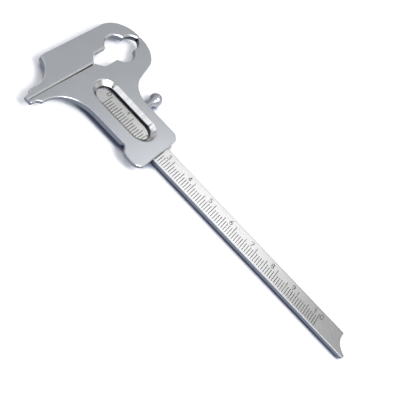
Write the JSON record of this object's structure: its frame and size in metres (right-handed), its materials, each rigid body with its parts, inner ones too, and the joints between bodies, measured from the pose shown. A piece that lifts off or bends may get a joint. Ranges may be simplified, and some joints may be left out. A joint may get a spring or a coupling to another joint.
{
  "type": "slide caliper",
  "caption": "Small stainless slide caliper: fixed jaw on a graduated beam, sliding jaw with a bevelled reading window, thumb tab and ball-headed lock screw.",
  "frame": {"origin": "middle of the closed caliper's footprint, on the plane that its back lies on", "axes": "+X along the beam from the fixed jaw to the tail, +Y across the beam from the jaw tips to the head, +Z out of the face with the scale"},
  "size_m": [0.1382, 0.0596, 0.0049],
  "materials": {
    "blasted_steel": "fine bead-blasted satin",
    "satin_steel": "satin, dark etched marks",
    "ground_steel": "ground",
    "turned_steel": "fine turned",
    "screw_steel": "turned",
    "spring_steel": "rolled strip",
    "pad_brass": "turned"
  },
  "bodies": {
    "frame": {"beam": "satin_steel", "fixed_jaw": "blasted_steel", "jaw_back": "ground_steel", "jaw_screw_1": "screw_steel", "jaw_screw_2": "screw_steel", "jaw_screw_3": "screw_steel", "jaw_dowel_1": "screw_steel", "jaw_dowel_2": "screw_steel"},
    "slider": {"slider_body": "blasted_steel", "slider_cover": "ground_steel", "cover_screw_1": "screw_steel", "cover_screw_2": "screw_steel", "cover_screw_3": "screw_steel", "cover_screw_4": "screw_steel", "stop_screw": "screw_steel", "gib_strip": "spring_steel", "gib_screw_1": "screw_steel", "gib_screw_2": "screw_steel", "lock_pad": "pad_brass"},
    "lock_knob": {"lock_screw": "turned_steel"}
  },
  "joints": [
    {"name": "slider_slide", "type": "slide", "parent": "frame", "child": "slider", "axis": [1, 0, 0], "range_m": [0, 0.1]},
    {"name": "lock_screw_turn", "type": "hinge", "parent": "slider", "child": "lock_knob", "pos_m": [-0.03648, 0.01, 0.0025], "axis": [0, 1, 0], "range_deg": [-45, 315]}
  ]
}
